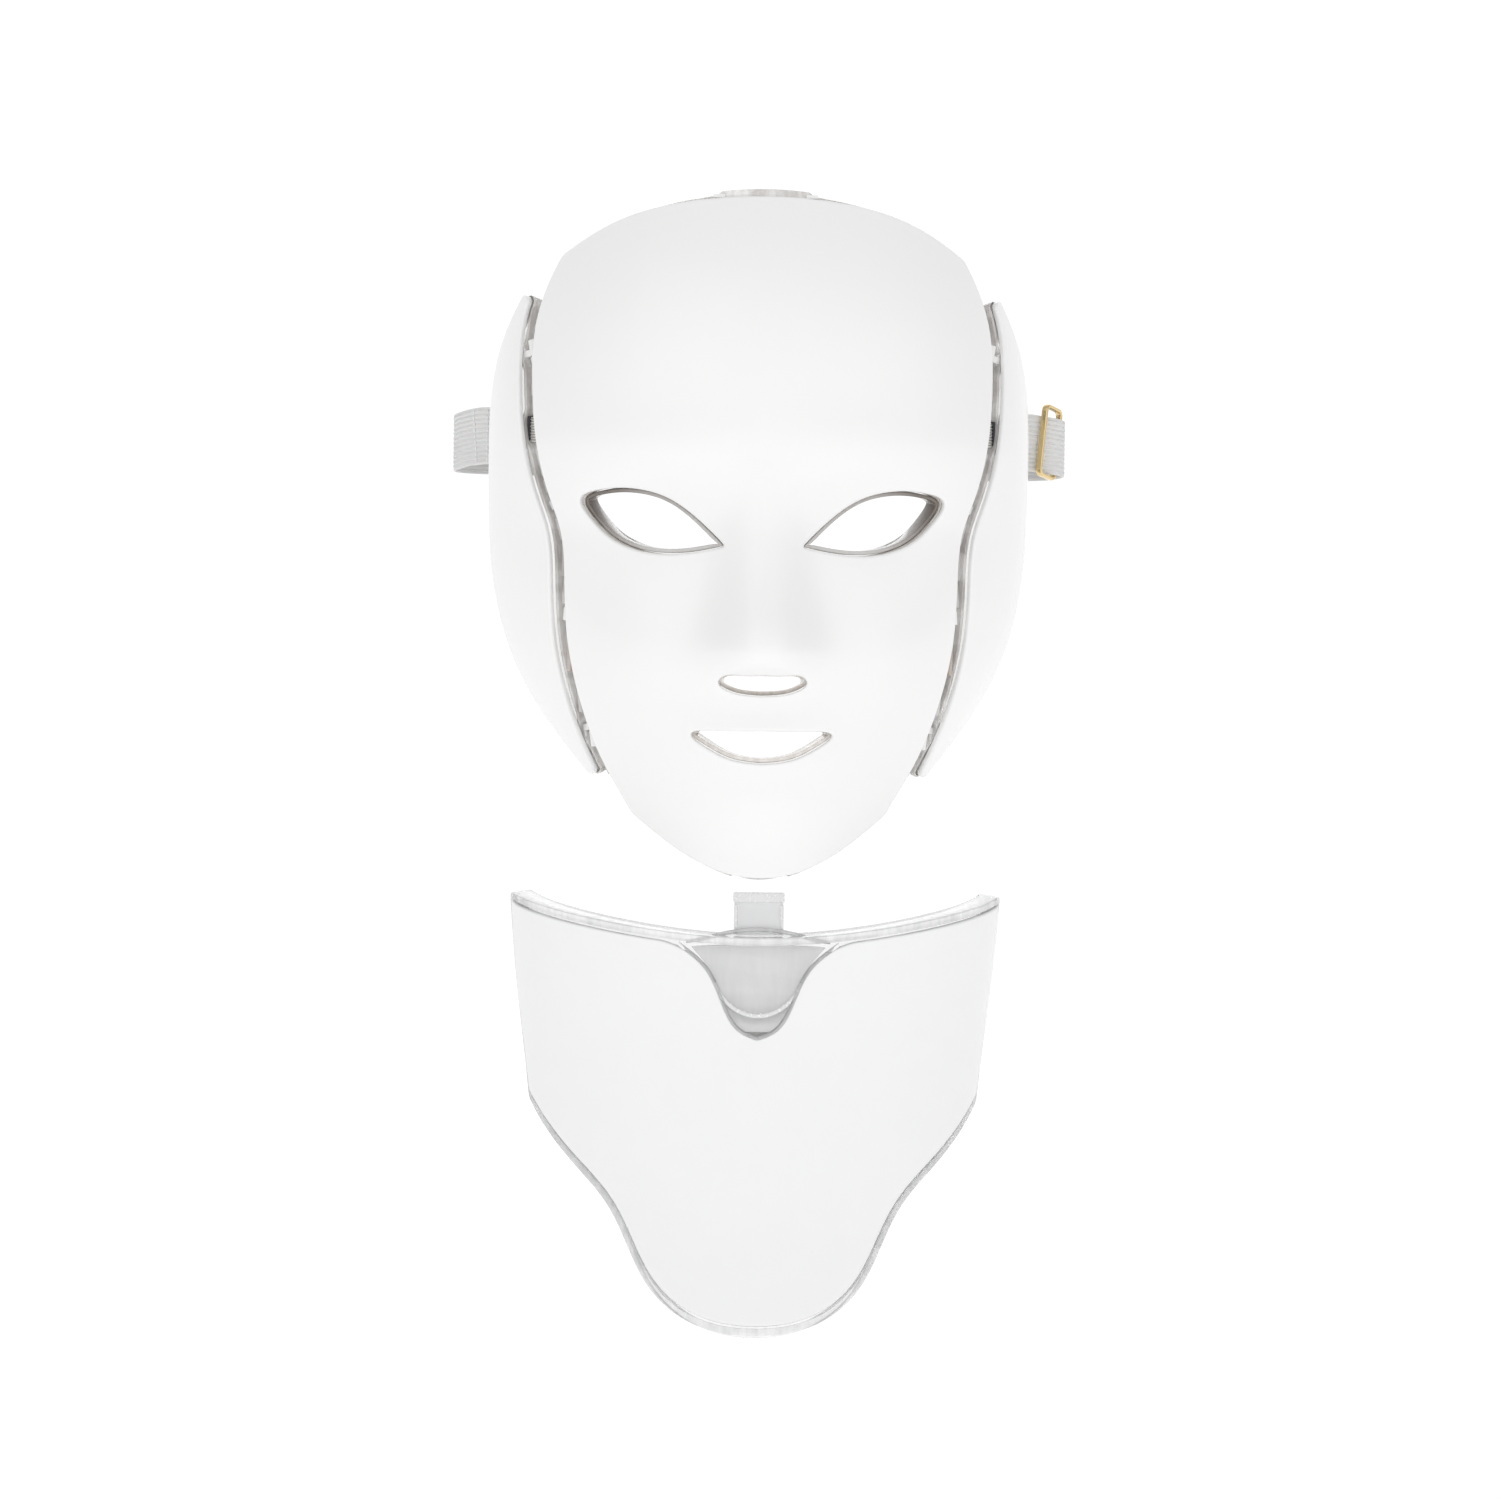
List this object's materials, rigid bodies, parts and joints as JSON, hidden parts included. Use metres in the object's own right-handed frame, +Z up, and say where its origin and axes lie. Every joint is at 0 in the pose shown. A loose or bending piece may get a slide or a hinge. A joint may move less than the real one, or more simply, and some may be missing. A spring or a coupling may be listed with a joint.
{
  "type": "led face mask",
  "caption": "Light therapy face mask with hinged side wings, elastic head strap with a buckle, and a detachable neck piece.",
  "frame": {"origin": "on the wearer's midline at eye level, where the mask's inner side rests over the bridge of the nose", "axes": "+Z up along the face, -Y out of the front of the mask, +X to the viewer's right"},
  "size_m": [0.2177, 0.1763, 0.3893],
  "materials": {
    "white_shell": "gloss",
    "clear_lens": "clear",
    "frosted_panel": "frosted",
    "led_board": "solder mask with small domed LEDs",
    "control_board": "solder mask",
    "inlet_black": "satin",
    "gold": "polished",
    "hinge_pin": "ground",
    "ribbon": "film",
    "webbing": "ribbed elastic"
  },
  "bodies": {
    "mask": {"front_cover": "white_shell", "left_cover_clip": "white_shell", "right_cover_clip": "white_shell", "chin_socket": "white_shell", "left_upper_hinge_eye": "white_shell", "left_lower_hinge_eye": "white_shell", "right_upper_hinge_eye": "white_shell", "right_lower_hinge_eye": "white_shell", "inner_lens": "clear_lens", "left_eye_rim": "clear_lens", "right_eye_rim": "clear_lens", "forehead_led_board": "led_board", "left_cheek_led_board": "led_board", "right_cheek_led_board": "led_board", "chin_led_board": "led_board", "control_board": "control_board", "power_inlet": "inlet_black", "chin_contacts": "gold", "left_upper_hinge_pin": "hinge_pin", "left_lower_hinge_pin": "hinge_pin", "right_upper_hinge_pin": "hinge_pin", "right_lower_hinge_pin": "hinge_pin", "left_ribbon_cable": "ribbon", "right_ribbon_cable": "ribbon", "elastic_strap": "webbing"},
    "left_wing": {"left_wing_cover": "white_shell", "left_strap_lug": "white_shell", "left_upper_hinge_knuckle": "white_shell", "left_lower_hinge_knuckle": "white_shell", "left_wing_lens": "clear_lens", "left_wing_led_board": "led_board", "left_strap_loop": "webbing"},
    "right_wing": {"right_wing_cover": "white_shell", "right_strap_lug": "white_shell", "right_upper_hinge_knuckle": "white_shell", "right_lower_hinge_knuckle": "white_shell", "right_wing_lens": "clear_lens", "right_wing_led_board": "led_board", "right_strap_loop": "webbing"},
    "buckle": {"adjuster_buckle": "gold"},
    "neck_piece": {"neck_lens": "clear_lens", "neck_scoop": "clear_lens", "neck_cover": "frosted_panel", "neck_tab": "frosted_panel", "neck_led_board": "led_board"}
  },
  "joints": [
    {"name": "left_wing_hinge", "type": "hinge", "parent": "mask", "child": "left_wing", "pos_m": [-0.05646, 0.02073, -0.0723], "axis": [0.1649, -0.1106, -0.9801], "range_deg": [-10, 15], "deforming": ["elastic_strap", "left_ribbon_cable"]},
    {"name": "right_wing_hinge", "type": "hinge", "parent": "mask", "child": "right_wing", "pos_m": [0.05646, 0.02073, -0.0723], "axis": [0.1649, 0.1106, 0.9801], "range_deg": [-10, 15], "deforming": ["elastic_strap", "right_ribbon_cable"]},
    {"name": "buckle_travel", "type": "hinge", "parent": "right_wing", "child": "buckle", "pos_m": [0.06743, 0.1053, 0.027], "axis": [0, 0, 1], "range_deg": [0, 30]},
    {"name": "neck_piece_slide", "type": "slide", "parent": "mask", "child": "neck_piece", "axis": [0, 0, 1], "range_m": [0, 0.015]}
  ]
}
